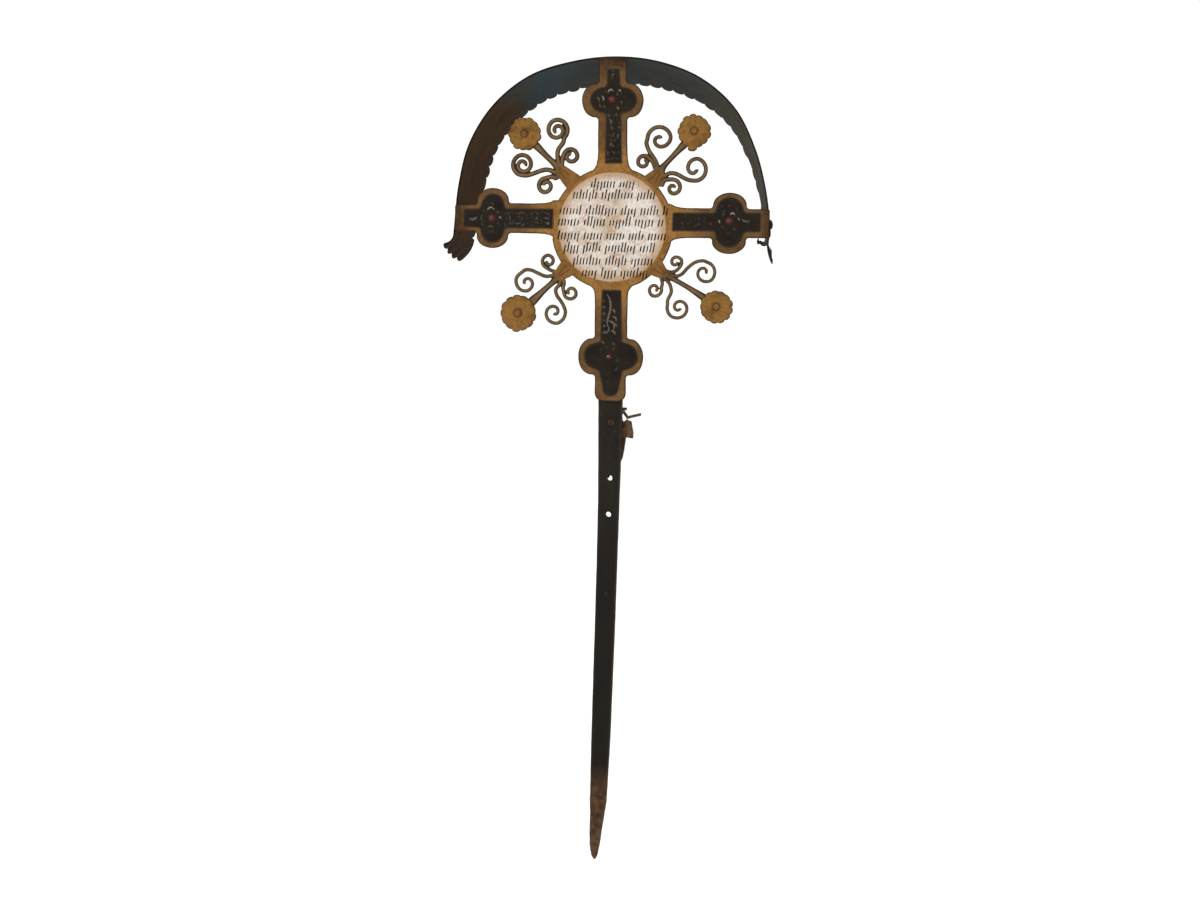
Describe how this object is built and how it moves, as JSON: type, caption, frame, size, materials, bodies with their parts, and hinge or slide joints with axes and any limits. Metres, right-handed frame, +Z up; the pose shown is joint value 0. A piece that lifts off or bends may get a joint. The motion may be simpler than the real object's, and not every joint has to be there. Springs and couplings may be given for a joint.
{
  "type": "grave cross",
  "caption": "Painted wrought-iron grave cross on a flat shaft: lobed cross plate with round inscription disc, forged scroll sprays and an arched scalloped sheet-iron roof.",
  "frame": {"origin": "centre of the shaft where it enters the ground, at the upper limit of the rusted foot", "axes": "+Z up along the shaft, the painted front faces -Y, +X to the viewer's right"},
  "size_m": [0.6651, 0.1447, 1.6072],
  "materials": {
    "dark_iron": "old black-brown paint on forged iron, rust-brown toward the pointed foot",
    "rusty_iron": "bare forged iron with dull brown rust",
    "painted_plate": "worn oil paint on sheet iron: ochre border, near-black panels, cream disc",
    "roof_sheet": "weathered sheet iron with remains of grey-blue paint and brown rust film",
    "gold_paint": "worn olive-gold paint on forged tines, darker brown along the edges"
  },
  "bodies": {
    "root": {"shaft": "dark_iron", "shaft_rivet_upper": "rusty_iron", "shaft_rivet_lower": "dark_iron", "bracket": "rusty_iron", "cross_plate": "painted_plate", "roof": "roof_sheet", "roof_rivet_right": "dark_iron", "roof_rivet_top": "dark_iron", "roof_rivet_left": "dark_iron", "spray_upper_left": "gold_paint", "spray_upper_right": "gold_paint", "spray_lower_left": "gold_paint", "spray_lower_right": "gold_paint"}
  },
  "joints": []
}
